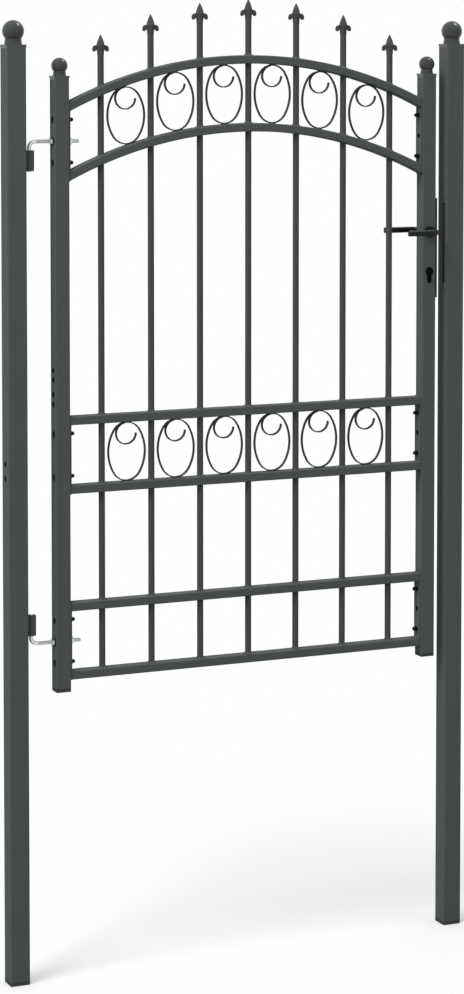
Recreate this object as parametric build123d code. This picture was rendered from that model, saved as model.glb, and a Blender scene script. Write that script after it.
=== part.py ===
# Garden gate: one hinged leaf of steel tube between two square posts that are set in the ground.
# Millimetres. X runs from the hinge post to the latch post, Y away from the front, Z up.
# The origin is the middle of the hinge post's foot.
import os
from math import sqrt

from build123d import *

# Posts
post_size = 40.0
post_wall = 2.0
post_corner = 3.0
post_height = 1841.0
post_hole = 10.0
post_hole_pitch = 27.0
post_hole_height = 1017.0

# Leaf outline and the gaps on its two sides
hinge_gap = 60.0
leaf_width = 837.0
latch_gap = 23.0
stile_size = 30.0
stile_wall = 1.5
stile_corner = 2.0
stile_below_rails = 23.0
stile_above_arch = 42.9
stile_hole = 10.0
stile_hole_pitch = 29.0
stile_hole_pair = 67.0

# Ball caps and foot plugs
cap_flange = 7.0
cap_overhang = 1.6
cap_wall = 2.5
cap_ball_share = 1.067
cap_neck_share = 0.81
cap_base_share = 0.9
cap_lift_share = 1.305
plug_flange = 8.0
plug_spigot = 20.0

# Rails, arches and the plates at their ends
rail_depth = 25.0
rail_height = 17.0
rail_wall = 1.5
rail_corner = 2.0
rail_pair_pitch = 136.0
base_pair_height = 597.0
middle_pair_height = 966.0
arch_crown = 1809.2
arch_radius = 862.0
plate_thickness = 3.0

# Upright bars and their spear heads
bar_count = 7
bar_diameter = 12.7
bar_wall = 1.2
bar_pitch = 105.8
tip_crown = 1938.0
tip_radius = 750.0
spear_height = 40.0
spear_collar = 3.0
spear_collar_step = 0.4
spear_shoulder = 19.0
spear_half_width = 8.3
spear_bulge = 1.0
spear_point = 0.4
barb_reach = 16.5
barb_thickness = 6.0
barb_drop = 12.6
barb_round = 7.0
barb_tip = 5.5

# Scrolls of flat strip
scroll_width = 80.5
scroll_end_radius = 33.0
scroll_curl_radius = 21.2
scroll_strip = 2.5
scroll_depth = 6.0
scroll_curl_start = 98.0
scroll_curl_sweep = 262.0
scroll_lap_share = 0.7

# Hinges
pin_offset = 11.5
rod_diameter = 8.0
rod_bend = 12.0
rod_overhang = 15.5
nut_flats = 13.0
nut_height = 6.5
sleeve_diameter = 20.0
sleeve_pad = 14.0
sleeve_length = 40.0
sleeve_drop = 17.0
pin_overhang = 2.0

# Lock, lever and strike
lever_height = 1461.5
lever_length = 68.0
lever_thickness = 10.0
lever_bar_height = 12.0
lever_reach = 40.0
lever_neck = 13.0
lever_collar = 2.0
lever_bend = 14.0
lever_edge = 4.0
rosette_diameter = 22.0
rosette_thickness = 6.0
spindle_size = 8.0
spindle_hole = 14.0
key_drop = 82.5
key_round = 17.0
key_foot = 10.0
key_height = 33.0
key_proud = 1.0
faceplate_thickness = 5.0
faceplate_width = 22.0
faceplate_height = 206.0
faceplate_middle = 1427.0
strike_thickness = 2.0
strike_width = 18.0
strike_height = 192.0
strike_slot_width = 11.0
strike_slot_height = 168.0
strike_middle = 1436.0
strike_side = -8.0

# Clearances
fit = 0.2
running_fit = 0.1
overrun = 5.0

# Places worked out from the sizes above
latch_post_x = post_size + hinge_gap + leaf_width + latch_gap
leaf_left = post_size / 2 + hinge_gap
leaf_right = leaf_left + leaf_width
leaf_middle = (leaf_left + leaf_right) / 2
hinge_stile_x = leaf_left + stile_size / 2
lock_stile_x = leaf_right - stile_size / 2
panel_left = leaf_left + stile_size + plate_thickness
panel_right = leaf_right - stile_size - plate_thickness
panel_width = panel_right - panel_left
pin_x = post_size / 2 + pin_offset
arch_center = arch_crown - arch_radius
bar_offsets = [(number - (bar_count - 1) / 2) * bar_pitch for number in range(bar_count)]
base_rail_top = base_pair_height + rail_height
key_height_above_foot = lever_height - key_drop


def arch_edge(radius, offset, lowered):
    """Height of a circle about the arch's centre, at a distance from the middle of the leaf."""
    return arch_center - lowered + sqrt(radius ** 2 - offset ** 2)


top_plate_low = arch_edge(arch_radius, panel_width / 2, rail_pair_pitch)
top_plate_high = arch_edge(arch_radius + rail_height, panel_width / 2, 0)
pair_height = rail_pair_pitch + rail_height
plate_spans = [
    (base_pair_height, base_pair_height + pair_height),
    (middle_pair_height, middle_pair_height + pair_height),
    (top_plate_low, top_plate_high),
]
lower_rod_z = base_pair_height + pair_height / 2
upper_rod_z = (top_plate_low + top_plate_high) / 2
stile_foot = base_pair_height - stile_below_rails
stile_top = top_plate_high + stile_above_arch
slot_low = strike_middle - strike_slot_height / 2
slot_high = strike_middle + strike_slot_height / 2


def upright_tube(size, wall, corner, low, high):
    """Square tube with rounded outer edges, standing on the Z axis."""
    section = RectangleRounded(size, size, corner) - Rectangle(size - 2 * wall, size - 2 * wall)
    return extrude(Pos(0, 0, low) * section, amount=high - low)


def cross_hole(diameter, low_x, high_x, height):
    """Round cutter along X."""
    return extrude(Plane((low_x, 0, height), z_dir=(1, 0, 0)) * Circle(diameter / 2), amount=high_x - low_x)


def hinge_post():
    post = upright_tube(post_size, post_wall, post_corner, plug_flange, post_height)
    outside = -post_size / 2 - overrun
    for side in (-1, 1):
        height = post_hole_height + side * post_hole_pitch / 2
        post -= cross_hole(post_hole, outside, 0, height)
    return post


def latch_post_length(low, high):
    """One length of the latch post's tube."""
    return Pos(latch_post_x, 0, 0) * upright_tube(post_size, post_wall, post_corner, low, high)


def latch_post_slot_length():
    """The length of the latch post whose leaf side is slotted for the latch and the bolt."""
    slot = Box(post_size / 2, strike_slot_width, strike_slot_height + 2 * overrun)
    leaf_side = latch_post_x - post_size / 2
    return latch_post_length(slot_low, slot_high) - Pos(leaf_side, strike_side, strike_middle) * slot


def ball_cap(size, corner):
    """Pressed cap: a square flange that flares upwards, a hollowed neck and a hollow ball, open below."""
    half = size / 2
    ball = half * cap_ball_share
    neck = half * cap_neck_share
    base = half * cap_base_share
    ball_height = half * cap_lift_share
    neck_height = ball_height - sqrt(ball ** 2 - neck ** 2)
    lip_size = size + 2 * cap_overhang
    foot = RectangleRounded(size, size, corner)
    lip = Pos(0, 0, cap_flange) * RectangleRounded(lip_size, lip_size, corner + cap_overhang)
    flange = loft([foot, lip], ruled=True)
    side = TangentArc((neck, neck_height), (base, 0), tangent=(0, -1))
    outline = Polyline((base, 0), (0, 0), (0, neck_height), (neck, neck_height))
    cove = revolve(Plane.XZ * make_face([side, *outline.edges()]), Axis.Z)
    cap = flange + Pos(0, 0, cap_flange) * cove + Pos(0, 0, cap_flange + ball_height) * Sphere(ball)
    cap -= Pos(0, 0, cap_flange + ball_height) * Sphere(ball - cap_wall)
    throat = extrude(Circle(neck - cap_wall), amount=cap_flange + ball_height)
    return cap - throat


def foot_plug(size, wall, corner):
    """Plug that closes a tube's foot, with a spigot that fits inside the tube."""
    inside = size - 2 * wall - 2 * fit
    head = extrude(RectangleRounded(size, size, corner), amount=plug_flange)
    return head + extrude(Pos(0, 0, plug_flange) * Rectangle(inside, inside), amount=plug_spigot)


def stile_tube(x):
    low = stile_foot + plug_flange
    return Pos(x, 0, 0) * upright_tube(stile_size, stile_wall, stile_corner, low, stile_top)


def hinge_stile():
    stile = stile_tube(hinge_stile_x)
    for height in (lower_rod_z, upper_rod_z):
        stile -= cross_hole(rod_diameter + 2 * fit, leaf_left - overrun, panel_left, height)
    middle = (stile_foot + stile_top) / 2
    for spread in (-stile_hole_pair, -stile_hole_pitch, stile_hole_pitch, stile_hole_pair):
        stile -= cross_hole(stile_hole, leaf_left - overrun, hinge_stile_x, middle + spread / 2)
    return stile


def key_outline(gap):
    """Keyhole outline, a round head over a narrow foot, with a gap all round it."""
    head = key_round / 2 + gap
    foot_low = key_round / 2 - key_height - gap
    foot_middle = foot_low + key_foot / 2 + gap
    foot = Pos(0, foot_middle) * Circle(key_foot / 2 + gap)
    return Circle(head) + foot + Pos(0, foot_middle / 2) * Rectangle(key_foot + 2 * gap, -foot_middle)


def key_body(length, gap):
    """Keyhole outline carried through the lock stile from front to back."""
    place = Plane((lock_stile_x, 0, key_height_above_foot), x_dir=(1, 0, 0), z_dir=(0, -1, 0))
    return extrude(place * key_outline(gap), amount=length / 2, both=True)


def through_stile(diameter, length):
    """Round cutter along Y at the lever's axis."""
    place = Plane((lock_stile_x, 0, lever_height), z_dir=(0, -1, 0))
    return extrude(place * Circle(diameter / 2), amount=length / 2, both=True)


def lock_stile():
    stile = stile_tube(lock_stile_x)
    stile -= key_body(stile_size + 2 * overrun, fit)
    return stile - through_stile(spindle_hole, stile_size + 2 * overrun)


def bar_holes(low, high):
    """Cutters for the bars that pass through a rail."""
    cutter = extrude(Circle(bar_diameter / 2 + fit), amount=high - low)
    return [Pos(leaf_middle + offset, 0, low) * cutter for offset in bar_offsets]


def rail_section(x, height):
    """Upright section of a flat-lying rectangular tube with rounded outer edges."""
    section = RectangleRounded(rail_depth, rail_height, rail_corner)
    section -= Rectangle(rail_depth - 2 * rail_wall, rail_height - 2 * rail_wall)
    return Plane((x, 0, height + rail_height / 2), x_dir=(0, 1, 0), z_dir=(1, 0, 0)) * section


def straight_rail(height, pierced):
    """Tube between the end plates."""
    rail = extrude(rail_section(panel_left, height), amount=panel_width)
    if pierced:
        rail -= bar_holes(height - overrun, height + rail_height + overrun)
    return rail


def arch_rail(lowered):
    """Tube bent to the arch's radius and cut off upright at the end plates, with the bars' holes."""
    center = arch_center - lowered
    axis = Axis((leaf_middle, 0, center), (0, 1, 0))
    hoop = revolve(rail_section(leaf_middle, center + arch_radius), axis)
    upwards = (Align.CENTER, Align.CENTER, Align.MIN)
    window = Box(panel_width, rail_depth, arch_radius + rail_height, align=upwards)
    rail = hoop & Pos(leaf_middle, 0, center) * window
    low = arch_edge(arch_radius, panel_width / 2, lowered)
    return rail - bar_holes(low, arch_crown + rail_height + overrun)


def spear_base(offset):
    """Height where a bar ends and its spear head begins."""
    return tip_crown - tip_radius + sqrt(tip_radius ** 2 - offset ** 2) - spear_height


def upright_bar(offset):
    """Round tube from the base rail's top face up to its spear head."""
    ring = Circle(bar_diameter / 2) - Circle(bar_diameter / 2 - bar_wall)
    bar = extrude(ring, amount=spear_base(offset) - base_rail_top)
    return Pos(leaf_middle + offset, 0, base_rail_top) * bar


def spear_head():
    """Cast lance point on a collar, with a drooping barb on each side."""
    collar = bar_diameter / 2 + spear_collar_step
    base = Polyline(
        (spear_point, spear_height),
        (0, spear_height),
        (0, 0),
        (collar, 0),
        (collar, spear_collar),
        (spear_half_width, spear_shoulder),
    )
    blade = ThreePointArc(
        (spear_half_width, spear_shoulder),
        ((spear_half_width + spear_point) / 2 + spear_bulge, (spear_shoulder + spear_height) / 2),
        (spear_point, spear_height),
    )
    point = revolve(Plane.XZ * make_face([blade, *base.edges()]), Axis.Z)
    barb_low = spear_shoulder - barb_drop
    barb_under = barb_low + barb_tip / 2
    bend = (barb_reach - barb_round, spear_shoulder)
    shoulder = Polyline((0, barb_under), (0, spear_shoulder), bend)
    outside = TangentArc(bend, (barb_reach, spear_shoulder - barb_round), tangent=(1, 0))
    flank = Line((barb_reach, spear_shoulder - barb_round), (barb_reach, barb_under))
    tip = ThreePointArc(
        (barb_reach, barb_under),
        (barb_reach - barb_tip / 2, barb_low),
        (barb_reach - barb_tip, barb_under),
    )
    under = Line((barb_reach - barb_tip, barb_under), (0, barb_under))
    edges = [*shoulder.edges(), outside, flank, tip, under]
    barb = extrude(Plane.XZ * make_face(edges), amount=barb_thickness / 2, both=True)
    return point + barb + mirror(barb, Plane.YZ)


def spear_heads():
    head = spear_head()
    return [Pos(leaf_middle + offset, 0, spear_base(offset)) * head for offset in bar_offsets]


def oval(end_high, end_low, width, end_radius):
    """Upright oval of four tangent arcs, with the centres of its end arcs on the Y axis of the sketch."""
    half = (end_high - end_low) / 2 + end_radius
    side = width / 2
    flank = (side ** 2 + half ** 2 - 2 * half * end_radius) / (2 * (side - end_radius))
    drop = (end_high - end_low) / 2
    reach = flank - side
    share = end_radius / (flank - end_radius)
    middle = (end_high + end_low) / 2
    corner_x = reach * share
    corner_y = drop * (1 + share)
    points = [(corner_x, corner_y), (-corner_x, corner_y), (-corner_x, -corner_y), (corner_x, -corner_y)]
    middles = [(0, half), (-side, 0), (0, -half), (side, 0)]
    ends = points[1:] + points[:1]
    arcs = [ThreePointArc(start, through, end) for start, through, end in zip(points, middles, ends)]
    return Pos(0, middle) * make_face(arcs)


def scroll(offset, end_high, end_low):
    """Strip bent into an oval whose end curls inwards, welded between two rails."""
    inner = scroll_end_radius - scroll_strip
    ring = oval(end_high, end_low, scroll_width, scroll_end_radius)
    ring -= oval(end_high, end_low, scroll_width - 2 * scroll_strip, inner)
    half_strip = scroll_strip / 2
    set_in = scroll_end_radius - scroll_curl_radius - half_strip - scroll_lap_share * half_strip
    curl_middle = Vector(0, end_high) + Vector(set_in, 0).rotate(Axis.Z, scroll_curl_start)
    outer = CenterArc(curl_middle, scroll_curl_radius + half_strip, scroll_curl_start, scroll_curl_sweep)
    inside = CenterArc(curl_middle, scroll_curl_radius - half_strip, scroll_curl_start, scroll_curl_sweep)
    curl = make_face([outer, inside, Line(outer @ 0, inside @ 0), Line(outer @ 1, inside @ 1)])
    place = Plane((leaf_middle + offset, 0, 0), x_dir=(1, 0, 0), z_dir=(0, -1, 0))
    return extrude(place * (ring + curl), amount=scroll_depth / 2, both=True)


def middle_scrolls():
    high = middle_pair_height + rail_pair_pitch - fit - scroll_end_radius
    low = middle_pair_height + rail_height + fit + scroll_end_radius
    return [scroll(offset + bar_pitch / 2, high, low) for offset in bar_offsets[:-1]]


def arch_scrolls():
    scrolls = []
    for bar_offset in bar_offsets[:-1]:
        offset = bar_offset + bar_pitch / 2
        high = arch_edge(arch_radius - scroll_end_radius - fit, offset, 0)
        low = arch_edge(arch_radius + rail_height + scroll_end_radius + fit, offset, rail_pair_pitch)
        scrolls.append(scroll(offset, high, low))
    return scrolls


def end_plates(x):
    """Upright plates that close the rail pairs' ends and lie against a stile."""
    plates = []
    for low, high in plate_spans:
        plate = Pos(x, 0, (low + high) / 2) * Box(plate_thickness, rail_depth, high - low)
        hole = cross_hole(rod_diameter + 2 * fit, x - plate_thickness, x + plate_thickness, (low + high) / 2)
        plates.append(plate - hole)
    return plates


def hinge_bolt(height, way):
    """Threaded rod through the stile, bent up or down into the pin that turns in the sleeve."""
    inner_end = panel_left + nut_height + rod_overhang
    pin_end = height + way * (sleeve_drop + sleeve_length + pin_overhang)
    path = FilletPolyline((inner_end, 0, height), (pin_x, 0, height), (pin_x, 0, pin_end), radius=rod_bend)
    return sweep(Plane((inner_end, 0, height), z_dir=(-1, 0, 0)) * Circle(rod_diameter / 2), path=path)


def hinge_nuts():
    """A nut on each side of the stile, on both rods."""
    section = RegularPolygon(nut_flats / 2, side_count=6, major_radius=False)
    section -= Circle(rod_diameter / 2 + running_fit)
    nuts = []
    for height in (lower_rod_z, upper_rod_z):
        for x in (leaf_left - nut_height, panel_left):
            nuts.append(extrude(Plane((x, 0, height), z_dir=(1, 0, 0)) * section, amount=nut_height))
    return nuts


def hinge_sleeve(height, way):
    """Short pipe with a flat back, welded to the hinge post."""
    pipe = Circle(sleeve_diameter / 2) + Pos(-pin_offset / 2, 0) * Rectangle(pin_offset, sleeve_pad)
    pipe -= Circle(rod_diameter / 2 + running_fit)
    middle = height + way * (sleeve_drop + sleeve_length / 2)
    return Pos(pin_x, 0, middle) * extrude(pipe, amount=sleeve_length / 2, both=True)


def lock_faceplate():
    plate = Box(faceplate_thickness, faceplate_width, faceplate_height)
    return Pos(leaf_right + faceplate_thickness / 2, 0, faceplate_middle) * plate


def strike_plate():
    plate = Box(strike_thickness, strike_width, strike_height)
    plate -= Box(strike_thickness + 2 * overrun, strike_slot_width, strike_slot_height)
    face = latch_post_x - post_size / 2
    return Pos(face - strike_thickness / 2, strike_side, strike_middle) * plate


def lever_rosettes():
    """Round bearings for the lever on the stile's front and back faces."""
    ring = Circle(rosette_diameter / 2) - Circle(lever_neck / 2 + running_fit)
    rosettes = []
    for way in (-1, 1):
        place = Plane((lock_stile_x, way * stile_size / 2, lever_height), z_dir=(0, way, 0))
        rosettes.append(extrude(place * ring, amount=rosette_thickness))
    return rosettes


def lever_handle(way):
    """Round collar in the rosette, and a bar that bends out of it towards the hinge side."""
    face = way * stile_size / 2
    outside = face + way * lever_reach
    tip = lock_stile_x - lever_length
    place = Plane((lock_stile_x, face, lever_height), x_dir=(1, 0, 0), z_dir=(0, way, 0))
    collar = extrude(place * Circle(lever_neck / 2), amount=rosette_thickness + lever_collar)
    path = FilletPolyline(
        (lock_stile_x, face, lever_height),
        (lock_stile_x, outside, lever_height),
        (tip, outside, lever_height),
        radius=lever_bend,
    )
    section = place * RectangleRounded(lever_thickness, lever_bar_height, lever_edge)
    return collar + sweep(section, path=path)


def lever_spindle():
    """Square bar through the lock that joins the two handles."""
    place = Plane((lock_stile_x, 0, lever_height), z_dir=(0, -1, 0))
    return extrude(place * Rectangle(spindle_size, spindle_size), amount=stile_size / 2, both=True)


def save(name, shape):
    solids = shape if isinstance(shape, list) else [shape]
    export_step(Compound([solid for piece in solids for solid in piece.solids()]), f"parts/{name}.step")


os.makedirs("parts", exist_ok=True)

# The posts and what is fixed to them
save("hinge_post", hinge_post())
save("latch_post", latch_post_length(plug_flange, slot_low))
save("latch_post_slot_length", latch_post_slot_length())
save("latch_post_top_length", latch_post_length(slot_high, post_height))
save("hinge_post_cap", Pos(0, 0, post_height) * ball_cap(post_size, post_corner))
save("latch_post_cap", Pos(latch_post_x, 0, post_height) * ball_cap(post_size, post_corner))
save("hinge_post_plug", foot_plug(post_size, post_wall, post_corner))
save("latch_post_plug", Pos(latch_post_x, 0, 0) * foot_plug(post_size, post_wall, post_corner))
save("upper_hinge_sleeve", hinge_sleeve(upper_rod_z, -1))
save("lower_hinge_sleeve", hinge_sleeve(lower_rod_z, 1))
save("strike_plate", strike_plate())

# The leaf's frame
save("hinge_stile", hinge_stile())
save("lock_stile", lock_stile())
save("hinge_stile_cap", Pos(hinge_stile_x, 0, stile_top) * ball_cap(stile_size, stile_corner))
save("lock_stile_cap", Pos(lock_stile_x, 0, stile_top) * ball_cap(stile_size, stile_corner))
save("hinge_stile_plug", Pos(hinge_stile_x, 0, stile_foot) * foot_plug(stile_size, stile_wall, stile_corner))
save("lock_stile_plug", Pos(lock_stile_x, 0, stile_foot) * foot_plug(stile_size, stile_wall, stile_corner))

# The leaf's panel
save("top_arch_rail", arch_rail(0))
save("lower_arch_rail", arch_rail(rail_pair_pitch))
save("upper_middle_rail", straight_rail(middle_pair_height + rail_pair_pitch, True))
save("lower_middle_rail", straight_rail(middle_pair_height, True))
save("upper_base_rail", straight_rail(base_pair_height + rail_pair_pitch, True))
save("base_rail", straight_rail(base_pair_height, False))
save("hinge_side_plates", end_plates(panel_left - plate_thickness / 2))
save("lock_side_plates", end_plates(panel_right + plate_thickness / 2))
for number, offset in enumerate(bar_offsets, start=1):
    save(f"bar_{number}", upright_bar(offset))
save("spear_heads", spear_heads())
save("arch_scrolls", arch_scrolls())
save("middle_scrolls", middle_scrolls())

# The leaf's hinges, its lock and its lever
save("upper_hinge_bolt", hinge_bolt(upper_rod_z, -1))
save("lower_hinge_bolt", hinge_bolt(lower_rod_z, 1))
save("hinge_nuts", hinge_nuts())
save("lock_faceplate", lock_faceplate())
save("key_cylinder", key_body(stile_size + 2 * key_proud, 0))
save("lever_rosettes", lever_rosettes())
save("front_lever", lever_handle(-1))
save("rear_lever", lever_handle(1))
save("lever_spindle", lever_spindle())
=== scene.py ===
from math import asin, cos, pi, radians, sin

import bmesh
import bpy
from mathutils import Matrix, Vector


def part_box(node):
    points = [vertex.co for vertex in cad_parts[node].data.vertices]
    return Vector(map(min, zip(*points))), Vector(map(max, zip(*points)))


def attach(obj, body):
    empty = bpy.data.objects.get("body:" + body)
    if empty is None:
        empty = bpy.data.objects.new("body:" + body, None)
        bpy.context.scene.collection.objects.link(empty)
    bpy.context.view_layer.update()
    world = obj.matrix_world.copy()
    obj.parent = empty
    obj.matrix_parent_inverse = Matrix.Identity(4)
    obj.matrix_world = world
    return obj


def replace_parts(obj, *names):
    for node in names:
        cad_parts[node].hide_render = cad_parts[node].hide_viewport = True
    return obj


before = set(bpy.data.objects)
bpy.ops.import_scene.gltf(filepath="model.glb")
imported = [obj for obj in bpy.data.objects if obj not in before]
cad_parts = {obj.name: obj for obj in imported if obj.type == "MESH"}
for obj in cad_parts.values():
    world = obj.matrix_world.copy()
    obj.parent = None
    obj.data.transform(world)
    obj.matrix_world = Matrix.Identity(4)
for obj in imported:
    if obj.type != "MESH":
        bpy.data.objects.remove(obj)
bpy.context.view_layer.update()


# Posts
# Two 40 mm square steel tubes that stand in the ground, rolled with small round edges and welded along one side.
# They are coated with a satin anthracite powder, which flows out in the oven to a fine orange peel.
class Nodes:
    """The emptied node tree of a material or of the world."""

    def __init__(self, owner):
        owner.use_nodes = True
        self.tree = owner.node_tree
        self.tree.nodes.clear()

    def add(self, kind, settings=None, sockets=None, output=0):
        """Adds a node, sets it and then its sockets, and gives one of its outputs."""
        node = self.tree.nodes.new(kind)
        for name, setting in (settings or {}).items():
            setattr(node, name, setting)
        for name, given in (sockets or {}).items():
            if isinstance(given, Value):
                self.tree.links.new(given.socket, node.inputs[name])
            else:
                node.inputs[name].default_value = given
        return Value(self, node.outputs[output]) if node.outputs else None


class Value:
    """A socket that carries a number. Arithmetic on it adds Math nodes."""

    def __init__(self, nodes, socket):
        self.nodes = nodes
        self.socket = socket

    def math(self, operation, first, second):
        return self.nodes.add("ShaderNodeMath", {"operation": operation}, {0: first, 1: second})

    def __add__(self, other):
        return self.math("ADD", self, other)

    def __radd__(self, other):
        return self.math("ADD", other, self)

    def __sub__(self, other):
        return self.math("SUBTRACT", self, other)

    def __rsub__(self, other):
        return self.math("SUBTRACT", other, self)

    def __mul__(self, other):
        return self.math("MULTIPLY", self, other)

    def __rmul__(self, other):
        return self.math("MULTIPLY", other, self)


def coated_finish(name, low_colour, high_colour, roughness, spread, peel_scale, relief, gloss, skirt=None):
    """A painted or moulded surface: a cloudy tone, a cloudy gloss and a fine skin of bumps.

    A skirt is the height under which a piece has another colour, and that colour."""
    material = bpy.data.materials.new(name)
    nodes = Nodes(material)
    place = nodes.add("ShaderNodeTexCoord", output=3)
    cloud = nodes.add("ShaderNodeTexNoise", None, {"Vector": place, "Scale": 11.0, "Detail": 3.0})
    streak = nodes.add("ShaderNodeTexNoise", None, {"Vector": place, "Scale": 46.0, "Detail": 4.0})
    peel = nodes.add("ShaderNodeTexNoise", None, {"Vector": place, "Scale": peel_scale, "Detail": 1.0})
    grain = nodes.add("ShaderNodeTexNoise", None, {"Vector": place, "Scale": peel_scale * 3.1, "Detail": 1.0})
    tone = cloud * 0.6 + streak * 0.4
    colour = nodes.add("ShaderNodeMix", {"data_type": "RGBA"}, {0: tone, 6: low_colour, 7: high_colour}, output=2)
    if skirt:
        height = nodes.add("ShaderNodeSeparateXYZ", None, {0: place}, output=2)
        skirt_top, skirt_colour = skirt
        blend = 0.0004
        above = nodes.add("ShaderNodeMapRange", None,
                          {"Value": height, "From Min": skirt_top - blend, "From Max": skirt_top + blend})
        colour = nodes.add("ShaderNodeMix", {"data_type": "RGBA"}, {0: above, 6: skirt_colour, 7: colour}, output=2)
    skin = nodes.add("ShaderNodeBump", None, {"Distance": relief, "Height": peel * 0.75 + grain * 0.25})
    shader = nodes.add("ShaderNodeBsdfPrincipled", None, {
        "Base Color": colour,
        "Roughness": roughness + spread * (streak - 0.5) + spread * (peel - 0.5),
        "Specular IOR Level": gloss,
        "Normal": skin,
    })
    nodes.add("ShaderNodeOutputMaterial", None, {"Surface": shader})
    return material


powder_coat = coated_finish("powder_coat", (0.0535, 0.0605, 0.0590, 1), (0.0625, 0.0700, 0.0685, 1),
                            0.74, 0.16, 720.0, 0.00006, 0.08)


def dress(material, *names):
    """Gives solids of the frame their finish."""
    for name in names:
        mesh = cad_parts[name].data
        mesh.materials.clear()
        mesh.materials.append(material)


dress(powder_coat, "hinge_post", "latch_post", "latch_post_slot_length", "latch_post_top_length")


# Ball caps
# Pressed steel caps, a square flange with a hollow ball on a coved neck, pushed on the posts and the stiles.
# The pressing is smoother than the rolled tube, so the coat is glossier on it. The ball and the neck are painted
# darker, as painted dark reflection, and the flange is painted a little lighter than the tube, to offset the shade on
# its sloping face.
flange_height = 0.0070
for kind in ("post", "stile"):
    pair = [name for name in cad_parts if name.endswith(f"{kind}_cap")]
    flange_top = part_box(pair[0])[0].z + flange_height
    # Ball and neck colours: painted dark reflection. Colour under the flange top: painted light against the flange's
    # shade.
    cap_coat_with_painted_shading = coated_finish(f"{kind}_cap_coat_with_painted_shading", (0.0280, 0.0314, 0.0308, 1), (0.0338, 0.0377, 0.0371, 1),
                             0.28, 0.10, 520.0, 0.00004, 0.22, (flange_top, (0.0640, 0.0715, 0.0700, 1)))
    dress(cap_coat_with_painted_shading, *pair)


# Foot plugs
# Moulded plastic plugs in the feet of the posts and of the stiles, with a flange as wide as the tube.
# Their skin is spark eroded, so they are duller than the powder coat.
plug_plastic = coated_finish("plug_plastic", (0.033, 0.0365, 0.0358, 1), (0.040, 0.0442, 0.0434, 1),
                             0.78, 0.10, 1900.0, 0.00004, 0.08)
dress(plug_plastic, "hinge_post_plug", "latch_post_plug", "hinge_stile_plug", "lock_stile_plug")


# Hinge sleeves
# Two short lengths of pipe with a flat back, welded to the hinge post, in which the hinge pins turn.
# A bead of weld runs down each side of the flat back, and is coated with the post.
def place_piece(name, mesh, material, body, sharp=35):
    """Makes an object of a bmesh, smooth but for its sharp edges, that moves with a body."""
    bmesh.ops.remove_doubles(mesh, verts=mesh.verts, dist=0.000002)
    bmesh.ops.recalc_face_normals(mesh, faces=mesh.faces)
    for face in mesh.faces:
        face.smooth = True
    data = bpy.data.meshes.new(name)
    mesh.to_mesh(data)
    mesh.free()
    data.materials.append(material)
    data.set_sharp_from_angle(angle=radians(sharp))
    piece = bpy.data.objects.new(name, data)
    bpy.context.scene.collection.objects.link(piece)
    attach(piece, body)
    return piece


def new_ring(extruded):
    """The edges and vertices that an extrusion of a ring has made."""
    verts = [item for item in extruded if isinstance(item, bmesh.types.BMVert)]
    moved = set(verts)
    edges = [item for item in extruded if isinstance(item, bmesh.types.BMEdge) and moved.issuperset(item.verts)]
    return verts, edges


def weld_bead(mesh, start, end, radius, ripple):
    """A round bead along a line, with the ripples that the weld pool leaves."""
    end_size = 0.35
    run = end - start
    count = max(4, round(run.length / ripple) * 2)
    turn = run.to_track_quat("Z", "Y").to_matrix().to_4x4()
    first = bmesh.ops.create_circle(mesh, cap_ends=True, segments=8, radius=radius * end_size,
                                    matrix=Matrix.Translation(start) @ turn)
    verts = first["verts"]
    edges = list({edge for vert in verts for edge in vert.link_edges})
    size = end_size
    for number in range(1, count + 1):
        verts, edges = new_ring(bmesh.ops.extrude_edge_only(mesh, edges=edges)["geom"])
        bmesh.ops.translate(mesh, vec=run / count, verts=verts)
        wanted = end_size if number == count else 1.0 + 0.13 * cos(number * pi) + 0.05 * sin(number * 1.7)
        middle = Matrix.Translation(start + run * number / count)
        scale = Matrix.Scale(wanted / size, 4)
        bmesh.ops.transform(mesh, matrix=middle @ scale @ middle.inverted(), verts=verts)
        size = wanted
    bmesh.ops.edgeloop_fill(mesh, edges=edges)


dress(powder_coat, "upper_hinge_sleeve", "lower_hinge_sleeve")
sleeve_pad = 0.0140
sleeve_welds = bmesh.new()
for name in ("upper_hinge_sleeve", "lower_hinge_sleeve"):
    low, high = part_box(name)
    for side in (-1, 1):
        foot = Vector((low.x + 0.0006, side * (sleeve_pad / 2 + 0.0004), low.z + 0.0015))
        head = Vector((foot.x, foot.y, high.z - 0.0015))
        weld_bead(sleeve_welds, foot, head, 0.0017, 0.0026)
place_piece("sleeve_welds", sleeve_welds, powder_coat, "posts", 60)


# Strike plate
# A flat steel plate with one long slot on the latch post, coated with it.
# Two countersunk screws, one above and one below the slot, hold it.
black_steel = coated_finish("black_steel", (0.0022, 0.0024, 0.0026, 1), (0.0052, 0.0054, 0.0057, 1),
                            0.46, 0.16, 950.0, 0.00003, 0.11)


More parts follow.
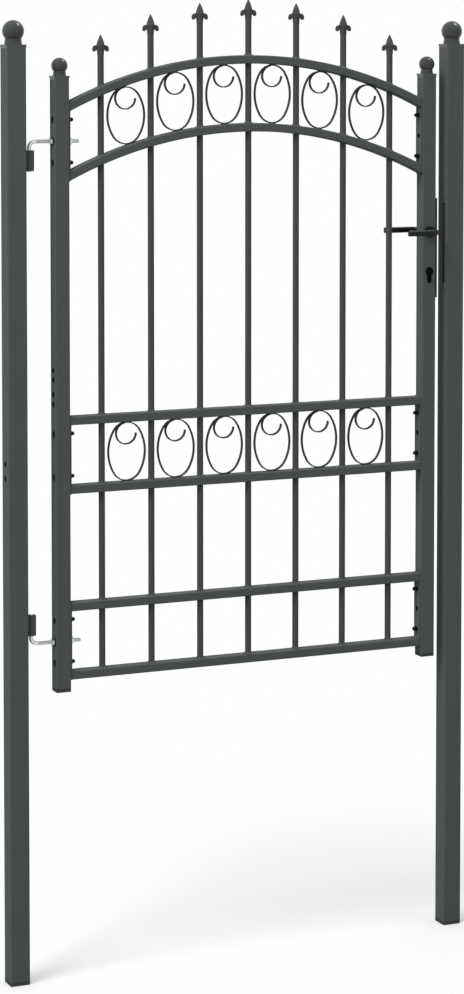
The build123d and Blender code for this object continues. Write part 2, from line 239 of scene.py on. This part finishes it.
def countersunk_screw(mesh, seat, radius):
    """A flush screw head with a cross recess cut as four sloping grooves, facing along a seat's own Z."""
    head = bmesh.ops.create_circle(mesh, cap_ends=False, segments=24, radius=radius, matrix=seat)
    rim = list({edge for vert in head["verts"] for edge in vert.link_edges})
    verts, edges = new_ring(bmesh.ops.extrude_edge_only(mesh, edges=rim)["geom"])
    rise = seat.to_3x3() @ Vector((0, 0, 0.00035))
    bmesh.ops.translate(mesh, vec=rise, verts=verts)
    shrink = seat @ Matrix.Scale(0.90, 4) @ seat.inverted()
    bmesh.ops.transform(mesh, matrix=shrink, verts=verts)
    inner, inner_edges = new_ring(bmesh.ops.extrude_edge_only(mesh, edges=edges)["geom"])
    for vert in inner:
        local = seat.inverted() @ vert.co
        outward = abs(local.x) > 0.55 * radius or abs(local.y) > 0.55 * radius
        arm = min(abs(local.x), abs(local.y)) < 0.24 * radius and outward
        reach = 0.62 if arm else 0.26
        vert.co = seat @ Vector((local.x * reach, local.y * reach, local.z))
    floor_verts, floor_edges = new_ring(bmesh.ops.extrude_edge_only(mesh, edges=inner_edges)["geom"])
    sink = seat.to_3x3() @ Vector((0, 0, -0.0012))
    bmesh.ops.translate(mesh, vec=sink, verts=floor_verts)
    narrow = seat @ Matrix.Diagonal((0.55, 0.55, 1, 1)) @ seat.inverted()
    bmesh.ops.transform(mesh, matrix=narrow, verts=floor_verts)
    bmesh.ops.edgeloop_fill(mesh, edges=floor_edges)


dress(powder_coat, "strike_plate")
strike_low, strike_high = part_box("strike_plate")
strike_screw_radius = 0.0036
strike_screw_inset = 0.0060
strike_screws = bmesh.new()
for height in (strike_low.z + strike_screw_inset, strike_high.z - strike_screw_inset):
    spot = Vector((strike_low.x, (strike_low.y + strike_high.y) / 2, height))
    seat = Matrix.Translation(spot) @ Matrix.Rotation(-pi / 2, 4, "Y")
    countersunk_screw(strike_screws, seat, strike_screw_radius)
place_piece("strike_screws", strike_screws, black_steel, "posts")


# Stiles
# The two uprights of the leaf, 30 mm square steel tube with small round edges.
# The hinge stile is drilled for the hinge rods, and the lock stile is cut for the lock case inside it.
dress(powder_coat, "hinge_stile", "lock_stile")
hinge_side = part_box("hinge_stile")[0].x
lock_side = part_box("lock_stile")[1].x


# Drilled holes
# Two holes in the hinge post's outer face take the screws of a fence panel's bracket. Four in the stile's are spare.
# Their walls and a thin rim round each are lined with a near-black sheet, which is painted shade.
painted_hole_shade = coated_finish("painted_hole_shade", (0.0040, 0.0042, 0.0044, 1), (0.0080, 0.0078, 0.0075, 1),
                          0.66, 0.18, 1500.0, 0.00003, 0.05)
hole_radius = 0.0050
post_wall = 0.0020
stile_wall = 0.0015
post_hole_middle = 1.0170
post_hole_spread = 0.0135
stile_hole_spreads = (-0.0335, -0.0145, 0.0145, 0.0335)


def lathe(mesh, seat, profile, steps):
    """Turns a profile of radius and height about a seat's own Z."""
    line = [mesh.verts.new(seat @ Vector((radius, 0, height))) for radius, height in profile]
    edges = [mesh.edges.new(pair) for pair in zip(line, line[1:])]
    bmesh.ops.spin(mesh, geom=line + edges, cent=seat.translation, axis=seat.to_3x3() @ Vector((0, 0, 1)),
                   angle=2 * pi, steps=steps, use_merge=True)


def hole_walls(name, body, face, wall, heights):
    """Thin near-black linings of the holes through one wall of a tube, each with a dark rim round it: painted shade.
    """
    mesh = bmesh.new()
    inner = hole_radius - 0.0003
    rim = hole_radius + 0.0009
    lining = ((rim, 0.0001), (rim, -0.0001), (inner, -0.0001), (inner, wall), (hole_radius, wall))
    for height in heights:
        lathe(mesh, Matrix.Translation((face, 0, height)) @ Matrix.Rotation(pi / 2, 4, "Y"), lining, 32)
    place_piece(name, mesh, painted_hole_shade, body, 40)


hole_walls("post_hole_walls", "posts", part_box("hinge_post")[0].x, post_wall,
           (post_hole_middle - post_hole_spread, post_hole_middle + post_hole_spread))
stile_middle = (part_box("hinge_stile_plug")[0].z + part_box("hinge_stile")[1].z) / 2
hole_walls("stile_hole_walls", "leaf", hinge_side, stile_wall,
           [stile_middle + spread for spread in stile_hole_spreads])


# Rails and end plates
# Six flat-lying rectangular tubes, the upper two bent to an arch, welded in pairs to end plates with a hole for a rod.
# A short bead of weld closes each joint above and below, and is coated with the leaf.
rail_names = ("top_arch_rail", "lower_arch_rail", "upper_middle_rail", "lower_middle_rail", "upper_base_rail",
              "base_rail")
dress(powder_coat, *rail_names, "hinge_side_plates", "lock_side_plates")
rail_height = 0.0170
rail_half_depth = 0.0125
arch_radius = 0.8620
panel_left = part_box("base_rail")[0].x
panel_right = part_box("base_rail")[1].x
panel_middle = (panel_left + panel_right) / 2
panel_half = (panel_right - panel_left) / 2


def rail_edges(name, offset):
    """Heights of a rail's under and upper faces and the slope there, at a distance from the leaf's middle."""
    low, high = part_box(name)
    if "arch" not in name:
        return low.z, high.z, 0.0
    middle = high.z - arch_radius - rail_height
    under = middle + (arch_radius ** 2 - offset ** 2) ** 0.5
    upper = middle + ((arch_radius + rail_height) ** 2 - offset ** 2) ** 0.5
    return under, upper, -offset / ((arch_radius + rail_height) ** 2 - offset ** 2) ** 0.5


rail_welds = bmesh.new()
for name in rail_names:
    for side in (-1, 1):
        under, upper, _ = rail_edges(name, side * panel_half)
        end = panel_middle + side * (panel_half - 0.0004)
        for height in (under - 0.0002, upper + 0.0002):
            near = Vector((end, -rail_half_depth + 0.0025, height))
            far = Vector((end, rail_half_depth - 0.0025, height))
            weld_bead(rail_welds, near, far, 0.0013, 0.0024)
place_piece("rail_welds", rail_welds, powder_coat, "leaf", 60)

plate_hole = 0.0042
plate_thickness = 0.0030
rail_pairs = (
    ("base_rail", "upper_base_rail"),
    ("lower_middle_rail", "upper_middle_rail"),
    ("lower_arch_rail", "top_arch_rail"),
)
pair_middles = [(rail_edges(lower, panel_half)[0] + rail_edges(upper, panel_half)[1]) / 2
                for lower, upper in rail_pairs]
# The end plate holes get a near-black lining with a floor and a rim, painted shade for the hole and what lies behind
# it.
plate_rim = plate_hole + 0.0010
plate_inner = plate_hole - 0.0003
plate_floor = plate_thickness - 0.0003
plate_lining = ((plate_rim, 0.0001), (plate_rim, -0.0001), (plate_inner, -0.0001), (plate_inner, plate_floor),
                (0.0, plate_floor))
plate_holes = bmesh.new()
for face, way, heights in ((panel_left, -1, pair_middles[1:2]), (panel_right, 1, pair_middles)):
    for height in heights:
        seat = Matrix.Translation((face, 0, height)) @ Matrix.Rotation(way * pi / 2, 4, "Y")
        lathe(plate_holes, seat, plate_lining, 32)
place_piece("plate_holes", plate_holes, painted_hole_shade, "leaf", 40)


# Bars
# Seven round 12.7 mm tubes that stand on the base rail and pass through the five rails above it.
# Where a bar comes out of a rail's upper face a collar of weld holds it. Their colour is set darker than the square
# tubes'.
bar_names = [f"bar_{number}" for number in range(1, 8)]
bar_coat = coated_finish("bar_coat", (0.0430, 0.0460, 0.0452, 1), (0.0500, 0.0532, 0.0524, 1),
                         0.70, 0.16, 720.0, 0.00006, 0.08)
dress(bar_coat, *bar_names)
bar_middles = [(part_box(name)[0].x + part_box(name)[1].x) / 2 for name in bar_names]
collar_profile = ((0.0063, 0.0036), (0.0069, 0.0025), (0.0078, 0.0014), (0.0089, 0.0005), (0.0095, -0.0005))


def weld_collar(mesh, spot, slope, profile, start):
    """A ring of weld round a bar, lying along a sloping face, a little uneven round the bar."""
    mesh.verts.ensure_lookup_table()
    before = len(mesh.verts)
    line = [mesh.verts.new(spot + Vector((radius, 0, height))) for radius, height in profile]
    edges = [mesh.edges.new(pair) for pair in zip(line, line[1:])]
    bmesh.ops.spin(mesh, geom=line + edges, cent=spot, axis=(0, 0, 1), angle=2 * pi, steps=22, use_merge=True)
    mesh.verts.ensure_lookup_table()
    for vert in mesh.verts[before:]:
        away = vert.co - spot
        wave = sin(9 * (away.xy.angle_signed(Vector((1, 0))) + start))
        vert.co.z += 0.00018 * wave + slope * away.x


bar_welds = bmesh.new()
for number, middle in enumerate(bar_middles):
    for name in rail_names:
        _, upper, slope = rail_edges(name, middle - panel_middle)
        weld_collar(bar_welds, Vector((middle, 0, upper)), slope, collar_profile, number)
place_piece("bar_welds", bar_welds, bar_coat, "leaf", 60)


# Scrolls
# Twelve ovals of flat steel strip whose upper end curls inwards, bent cold round a former.
# A dab of weld holds each one to the rail above it and to the rail below it. Their coat is the darkest.
strip_coat = coated_finish("strip_coat", (0.0270, 0.0288, 0.0283, 1), (0.0335, 0.0356, 0.0350, 1),
                           0.66, 0.16, 720.0, 0.00005, 0.08)
dress(strip_coat, "arch_scrolls", "middle_scrolls")
dab_size = Matrix.Diagonal((0.0078, 0.0034, 0.0013, 1))
scroll_welds = bmesh.new()
for first, second in zip(bar_middles, bar_middles[1:]):
    middle = (first + second) / 2
    for upper_name, lower_name in (("top_arch_rail", "lower_arch_rail"), ("upper_middle_rail", "lower_middle_rail")):
        top, _, top_slope = rail_edges(upper_name, middle - panel_middle)
        _, bottom, bottom_slope = rail_edges(lower_name, middle - panel_middle)
        for height, slope in ((top - 0.0004, top_slope), (bottom + 0.0004, bottom_slope)):
            lean = Matrix.Rotation(asin(-slope / (1 + slope * slope) ** 0.5), 4, "Y")
            dab = Matrix.Translation((middle, 0, height)) @ lean @ dab_size
            bmesh.ops.create_uvsphere(scroll_welds, u_segments=16, v_segments=8, radius=1, matrix=dab)
place_piece("scroll_welds", scroll_welds, strip_coat, "leaf", 60)


# Spear heads
# Seven cast iron points, each a lance blade on a collar with a drooping barb at either side, pushed on a bar.
# The sand mould leaves soft edges and a slightly rough skin under the coat.
cast_coat = coated_finish("cast_coat", (0.0360, 0.0385, 0.0380, 1), (0.0480, 0.0510, 0.0503, 1),
                          0.64, 0.20, 430.0, 0.00016, 0.12)
dress(cast_coat, "spear_heads")


# Panel bolts
# Twelve M5 bolts hold the end plates to the stiles: a low round head outside and a black cap nut in the panel.
# They are blackened steel, put in after the coating.
bolt_spread = 0.0420
head_profile = ((0.0071, 0.0), (0.0071, 0.0008), (0.0064, 0.0019), (0.0043, 0.0028), (0.0, 0.0031))
dome_profile = ((0.0040, 0.0040), (0.0040, 0.0066), (0.0037, 0.0082), (0.0029, 0.0094), (0.0016, 0.0102),
                (0.0, 0.0105))
hexagon_radius = 0.0051
hexagon_depth = 0.0048
bolt_heads = bmesh.new()
bolt_nuts = bmesh.new()
for side, outside, inside in ((-1, hinge_side, panel_left), (1, lock_side, panel_right)):
    for middle in pair_middles:
        for way in (-1, 1):
            height = middle + way * bolt_spread
            outward = Matrix.Translation((outside, 0, height)) @ Matrix.Rotation(side * pi / 2, 4, "Y")
            inward = Matrix.Translation((inside, 0, height)) @ Matrix.Rotation(-side * pi / 2, 4, "Y")
            lathe(bolt_heads, outward, head_profile, 28)
            lathe(bolt_nuts, inward, dome_profile, 28)
            hexagon = bmesh.ops.create_cone(bolt_nuts, cap_ends=True, segments=6, radius1=hexagon_radius,
                                            radius2=hexagon_radius, depth=hexagon_depth,
                                            matrix=inward @ Matrix.Translation((0, 0, hexagon_depth / 2)))
            corners = list({edge for vert in hexagon["verts"] for edge in vert.link_edges})
            bmesh.ops.bevel(bolt_nuts, geom=corners, offset=0.0004, offset_type="OFFSET", segments=2, profile=0.5,
                            affect="EDGES", material=-1)
place_piece("bolt_heads", bolt_heads, black_steel, "leaf")
place_piece("bolt_nuts", bolt_nuts, black_steel, "leaf", 25)


# Hinge rods, nuts and washers
# Two bent 8 mm rods of zinc plated steel, threaded along the straight leg, with a nut on each side of the stile.
# Turning the nuts sets the leaf's gap. A dark washer lies under each outer nut.
def plated_finish(name, low_colour, high_colour, roughness):
    """Bright zinc plate with cloudy passivation and fine rubbed scratches."""
    material = bpy.data.materials.new(name)
    nodes = Nodes(material)
    place = nodes.add("ShaderNodeTexCoord", output=3)
    cloud = nodes.add("ShaderNodeTexNoise", None, {"Vector": place, "Scale": 90.0, "Detail": 4.0})
    scratch = nodes.add("ShaderNodeTexNoise", None, {"Vector": place, "Scale": 1500.0, "Detail": 2.0})
    colour = nodes.add("ShaderNodeMix", {"data_type": "RGBA"}, {0: cloud, 6: low_colour, 7: high_colour}, output=2)
    skin = nodes.add("ShaderNodeBump", None, {"Distance": 0.00002, "Height": scratch})
    shader = nodes.add("ShaderNodeBsdfPrincipled", None, {
        "Base Color": colour,
        "Metallic": 1.0,
        "Roughness": roughness + 0.14 * (cloud - 0.5) + 0.10 * (scratch - 0.5),
        "Normal": skin,
    })
    nodes.add("ShaderNodeOutputMaterial", None, {"Surface": shader})
    return material


zinc_plate = plated_finish("zinc_plate", (0.55, 0.56, 0.575, 1), (0.72, 0.725, 0.72, 1), 0.30)
rod_radius = 0.0040
rod_bend = 0.0120
rod_tip = 0.0011
tip_share = 0.78
thread_root = 0.0035
thread_pitch = 0.00125
thread_steps = 18


def hinge_rod(name, node, level, way):
    """A plain pin, a quarter bend and a threaded leg, whose end is turned to a cone."""
    low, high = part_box(node)
    pin_middle = low.x + rod_radius
    pin_end = high.z if way > 0 else low.z
    mesh = bmesh.new()
    first = bmesh.ops.create_circle(mesh, cap_ends=True, segments=28, radius=rod_radius * tip_share,
                                    matrix=Matrix.Translation((pin_middle, 0, pin_end)))
    edges = list({edge for vert in first["verts"] for edge in vert.link_edges})

    def carry_on(move, about, size):
        ring, ring_edges = new_ring(bmesh.ops.extrude_edge_only(mesh, edges=edges)["geom"])
        bmesh.ops.translate(mesh, vec=move, verts=ring)
        seat = Matrix.Translation(about)
        bmesh.ops.transform(mesh, matrix=seat @ Matrix.Scale(size, 4) @ seat.inverted(), verts=ring)
        return ring, ring_edges

    tip = Vector((pin_middle, 0, pin_end - way * rod_tip))
    ring, edges = carry_on(Vector((0, 0, -way * rod_tip)), tip, 1 / tip_share)
    bend_foot = Vector((pin_middle, 0, level + way * rod_bend))
    ring, edges = carry_on(bend_foot - tip, bend_foot, 1.0)
    bent = bmesh.ops.spin(mesh, geom=ring + edges, cent=bend_foot + Vector((rod_bend, 0, 0)), axis=(0, -way, 0),
                          angle=pi / 2, steps=10)
    ring, edges = new_ring(bent["geom_last"])
    leg = Vector((pin_middle + rod_bend, 0, level))
    thread_start = leg + Vector((0.0025, 0, 0))
    ring, edges = carry_on(thread_start - leg, thread_start, 1.0)
    neck = thread_start + Vector((0.0008, 0, 0))
    ring, edges = carry_on(neck - thread_start, neck, thread_root / rod_radius)
    thread_end = Vector((high.x - 0.0012, 0, level))
    ring, edges = carry_on(thread_end - neck, thread_end, 1.0)
    rod_end = Vector((high.x, 0, level))
    ring, edges = carry_on(rod_end - thread_end, rod_end, tip_share)
    bmesh.ops.edgeloop_fill(mesh, edges=edges)

    turns = int((thread_end.x - neck.x) / thread_pitch)
    ridge = ((0.0, thread_root - 0.0001), (thread_pitch * 0.42, rod_radius), (thread_pitch * 0.58, rod_radius),
             (thread_pitch, thread_root - 0.0001))
    line = [mesh.verts.new(neck + Vector((along - thread_pitch * 0.5, 0, radius))) for along, radius in ridge]
    line_edges = [mesh.edges.new(pair) for pair in zip(line, line[1:])]
    bmesh.ops.spin(mesh, geom=line + line_edges, cent=neck, axis=(1, 0, 0), angle=2 * pi * turns,
                   steps=thread_steps * turns, dvec=(thread_pitch / thread_steps, 0, 0))
    piece = place_piece(name, mesh, zinc_plate, "leaf", 30)
    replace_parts(piece, node)


lower_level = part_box("lower_hinge_bolt")[0].z + rod_radius
upper_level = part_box("upper_hinge_bolt")[1].z - rod_radius
hinge_rod("upper_hinge_rod", "upper_hinge_bolt", upper_level, -1)
hinge_rod("lower_hinge_rod", "lower_hinge_bolt", lower_level, 1)

nut_flats = 0.0130
nut_height = 0.0065
nut_face = nut_flats * 0.475


def chamfered_nut(mesh, seat):
    """A hexagon with a round bore, turned off at both ends so that its corners are cut to curves."""
    mesh.verts.ensure_lookup_table()
    before = len(mesh.verts)
    outer = bmesh.ops.create_circle(mesh, cap_ends=False, segments=6, radius=nut_flats / 2 / cos(pi / 6),
                                    matrix=Matrix.Rotation(pi / 2, 4, "Z"))
    sides = list({edge for vert in outer["verts"] for edge in vert.link_edges})
    bmesh.ops.subdivide_edges(mesh, edges=sides, cuts=5)
    mesh.verts.ensure_lookup_table()
    verts = mesh.verts[before:]
    edges = list({edge for vert in verts for edge in vert.link_edges})
    bmesh.ops.translate(mesh, vec=(0, 0, nut_height / 2), verts=verts)

    def chamfer(ring, face):
        for vert in ring:
            drop = max(0.0, vert.co.xy.length - nut_face) * 0.62
            vert.co.z = face - (1 if face > 0 else -1) * drop

    def ring_of(extruded_edges, radius, height):
        ring, ring_edges = new_ring(bmesh.ops.extrude_edge_only(mesh, edges=extruded_edges)["geom"])
        for vert in ring:
            flat = vert.co.xy.normalized() * radius
            vert.co = Vector((flat.x, flat.y, height))
        return ring_edges

    half = nut_height / 2
    lower, lower_edges = new_ring(bmesh.ops.extrude_edge_only(mesh, edges=edges)["geom"])
    chamfer(lower, -half)
    chamfer(verts, half)
    top_edges = ring_of(edges, nut_face, half)
    top_edges = ring_of(top_edges, rod_radius * 1.10, half)
    top_edges = ring_of(top_edges, rod_radius * 0.98, half - 0.0006)
    low_edges = ring_of(lower_edges, nut_face, -half)
    low_edges = ring_of(low_edges, rod_radius * 1.10, -half)
    low_edges = ring_of(low_edges, rod_radius * 0.98, -half + 0.0006)
    bmesh.ops.bridge_loops(mesh, edges=top_edges + low_edges)
    mesh.verts.ensure_lookup_table()
    bmesh.ops.transform(mesh, matrix=seat, verts=mesh.verts[before:])


nuts = bmesh.new()
washers = bmesh.new()
washer_profile = ((0.0044, 0.0), (0.0090, 0.0), (0.0090, 0.0012), (0.0086, 0.0015), (0.0044, 0.0015))
along_x = Matrix.Rotation(pi / 2, 4, "Y")
for level in (lower_level, upper_level):
    for place in (hinge_side - nut_height / 2, panel_left + nut_height / 2):
        chamfered_nut(nuts, Matrix.Translation((place, 0, level)) @ along_x)
    lathe(washers, Matrix.Translation((hinge_side, 0, level)) @ Matrix.Rotation(-pi / 2, 4, "Y"), washer_profile, 36)
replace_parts(place_piece("rod_nuts", nuts, zinc_plate, "leaf", 30), "hinge_nuts")
place_piece("rod_washers", washers, black_steel, "leaf", 30)


# Lock faceplate
# The black steel faceplate of the lock case, which sits inside the lock stile.
# It lies on the stile's edge, held by two countersunk screws.
dress(black_steel, "lock_faceplate")
face_low, face_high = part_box("lock_faceplate")
face_screw_radius = 0.0040
face_screw_inset = 0.0100
face_screws = bmesh.new()
for height in (face_low.z + face_screw_inset, face_high.z - face_screw_inset):
    seat = Matrix.Translation((face_high.x, 0, height)) @ Matrix.Rotation(pi / 2, 4, "Y")
    countersunk_screw(face_screws, seat, face_screw_radius)
place_piece("face_screws", face_screws, black_steel, "leaf")


# Key cylinder
# A black profile cylinder, pushed through the lock stile and held by a screw from the faceplate's side.
# A round plug that carries the key slot shows on each face.
key_black = coated_finish("key_black", (0.0012, 0.0013, 0.0014, 1), (0.0026, 0.0027, 0.0028, 1),
                          0.50, 0.12, 950.0, 0.00003, 0.03)
dress(key_black, "key_cylinder")
key_low, key_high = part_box("key_cylinder")
key_round = 0.0170
key_plug_radius = 0.0066
key_slot_depth = 0.0040
plug_middle = Vector(((key_low.x + key_high.x) / 2, 0, key_high.z - key_round / 2))
key_plugs = bmesh.new()
for way, face in ((-1, key_low.y), (1, key_high.y)):
    seat = Matrix.Translation((plug_middle.x, face, plug_middle.z)) @ Matrix.Rotation(-way * pi / 2, 4, "X")
    rim = bmesh.ops.create_circle(key_plugs, segments=32, radius=key_plug_radius, matrix=seat)
    rim_edges = list({edge for vert in rim["verts"] for edge in vert.link_edges})
    ring, edges = new_ring(bmesh.ops.extrude_edge_only(key_plugs, edges=rim_edges)["geom"])
    step = seat @ Matrix.Translation((0, 0, 0.0004)) @ Matrix.Scale(0.95, 4) @ seat.inverted()
    bmesh.ops.transform(key_plugs, matrix=step, verts=ring)
    slot, slot_edges = new_ring(bmesh.ops.extrude_edge_only(key_plugs, edges=edges)["geom"])
    flat = seat @ Matrix.Diagonal((0.10, 0.66, 1, 1)) @ seat.inverted()
    bmesh.ops.transform(key_plugs, matrix=flat, verts=slot)
    sunk, sunk_edges = new_ring(bmesh.ops.extrude_edge_only(key_plugs, edges=slot_edges)["geom"])
    bmesh.ops.translate(key_plugs, vec=seat.to_3x3() @ Vector((0, 0, -key_slot_depth)), verts=sunk)
    bmesh.ops.edgeloop_fill(key_plugs, edges=sunk_edges)
place_piece("key_plugs", key_plugs, key_black, "leaf", 30)


# Levers
# Two black levers on round necks, one in front and one behind, that turn together on a square spindle.
# Each neck turns in a rosette on the stile's face.
lever_black = coated_finish("lever_black", (0.0045, 0.0047, 0.0050, 1), (0.0085, 0.0088, 0.0092, 1),
                            0.38, 0.14, 1300.0, 0.00002, 0.15)
dress(lever_black, "lever_rosettes", "front_lever", "rear_lever")
dress(zinc_plate, "lever_spindle")


# Floor
# A plain pale studio floor under the posts' feet, which keeps their shadow.
# It fades to the white of the room further out.
floor_radius = 14.0
gate_middle = (0.48, 0.0, 0.0)
floor_mesh = bmesh.new()
bmesh.ops.create_circle(floor_mesh, cap_ends=True, segments=96, radius=floor_radius)
floor_data = bpy.data.meshes.new("floor")
floor_mesh.to_mesh(floor_data)
floor_mesh.free()
floor = bpy.data.objects.new("floor", floor_data)
bpy.context.scene.collection.objects.link(floor)
floor_paint = bpy.data.materials.new("floor_paint")
floor_data.materials.append(floor_paint)
nodes = Nodes(floor_paint)
spot = nodes.add("ShaderNodeTexCoord", output=3)
away = nodes.add("ShaderNodeVectorMath", {"operation": "DISTANCE"}, {0: spot, 1: gate_middle}, output=1)
fade = nodes.add("ShaderNodeMapRange", {"interpolation_type": "SMOOTHSTEP"},
                 {"Value": away, "From Min": 0.55, "From Max": 1.6, "To Min": 0.3})
pale = nodes.add("ShaderNodeBsdfDiffuse", None, {"Color": (0.55, 0.55, 0.55, 1)})
white = nodes.add("ShaderNodeEmission", None, {"Color": (1, 1, 1, 1), "Strength": 1.0})
seen = nodes.add("ShaderNodeMixShader", None, {0: fade, 1: pale, 2: white})
dim = nodes.add("ShaderNodeBsdfDiffuse", None, {"Color": (0.16, 0.16, 0.16, 1)})


def straight_rays(tree):
    """1 for rays that show the background: camera rays, reflections and rays through clear things."""
    camera = tree.add("ShaderNodeLightPath", output=0)
    glossy = tree.add("ShaderNodeLightPath", output=3)
    through = tree.add("ShaderNodeLightPath", output=6)
    return tree.add("ShaderNodeMath", {"operation": "ADD", "use_clamp": True}, {0: camera + glossy, 1: through})


floor_look = nodes.add("ShaderNodeMixShader", None, {0: straight_rays(nodes), 1: dim, 2: seen})
nodes.add("ShaderNodeOutputMaterial", None, {"Surface": floor_look})


# Room and lamps
# A white room that is seen by the camera and in reflections, and lights the object only softly.
# A large soft lamp hangs high on the left, and a small one high on the right gives the caps their glint.
room = bpy.data.worlds.new("room")
bpy.context.scene.world = room
nodes = Nodes(room)
shown = nodes.add("ShaderNodeBackground", None, {"Color": (1, 1, 1, 1), "Strength": 1.0})
ambient = nodes.add("ShaderNodeBackground", None, {"Color": (1, 1, 1, 1), "Strength": 1.18})
look = nodes.add("ShaderNodeMixShader", None, {0: straight_rays(nodes), 1: ambient, 2: shown})
nodes.add("ShaderNodeOutputWorld", None, {"Surface": look})


def soft_lamp(name, spot, target, width, watts):
    """A square lamp that faces a point."""
    light = bpy.data.lights.new(name, "AREA")
    light.shape = "SQUARE"
    light.size = width
    light.energy = watts
    lamp = bpy.data.objects.new(name, light)
    lamp.location = spot
    lamp.rotation_euler = (Vector(target) - Vector(spot)).to_track_quat("-Z", "Y").to_euler()
    bpy.context.scene.collection.objects.link(lamp)
    return lamp


soft_lamp("key_lamp", (-4.1, -1.9, 7.2), (0.45, 0.0, 1.0), 3.0, 640.0).visible_glossy = False
soft_lamp("glint_lamp", (3.2, -0.2, 6.0), (0.45, 0.0, 1.7), 1.2, 170.0).visible_diffuse = False


# Camera
# It stands left of the gate at eye height, with a long lens.
# The picture is shifted down, so that the posts stay nearly upright in it.
sensor_width = 36.0
focal_pixels = 2839.0
picture_height = 994
camera_data = bpy.data.cameras.new("camera")
camera_data.sensor_width = sensor_width
camera_data.lens = focal_pixels / picture_height * sensor_width
camera_data.shift_y = -0.29
camera = bpy.data.objects.new("camera", camera_data)
camera.location = (-1.8381, -5.1986, 1.8646)
camera.rotation_euler = (radians(90 - 3.4834), 0.0, -radians(23.8739))
bpy.context.scene.collection.objects.link(camera)
bpy.context.scene.camera = camera
bpy.context.scene.view_settings.view_transform = "Standard"
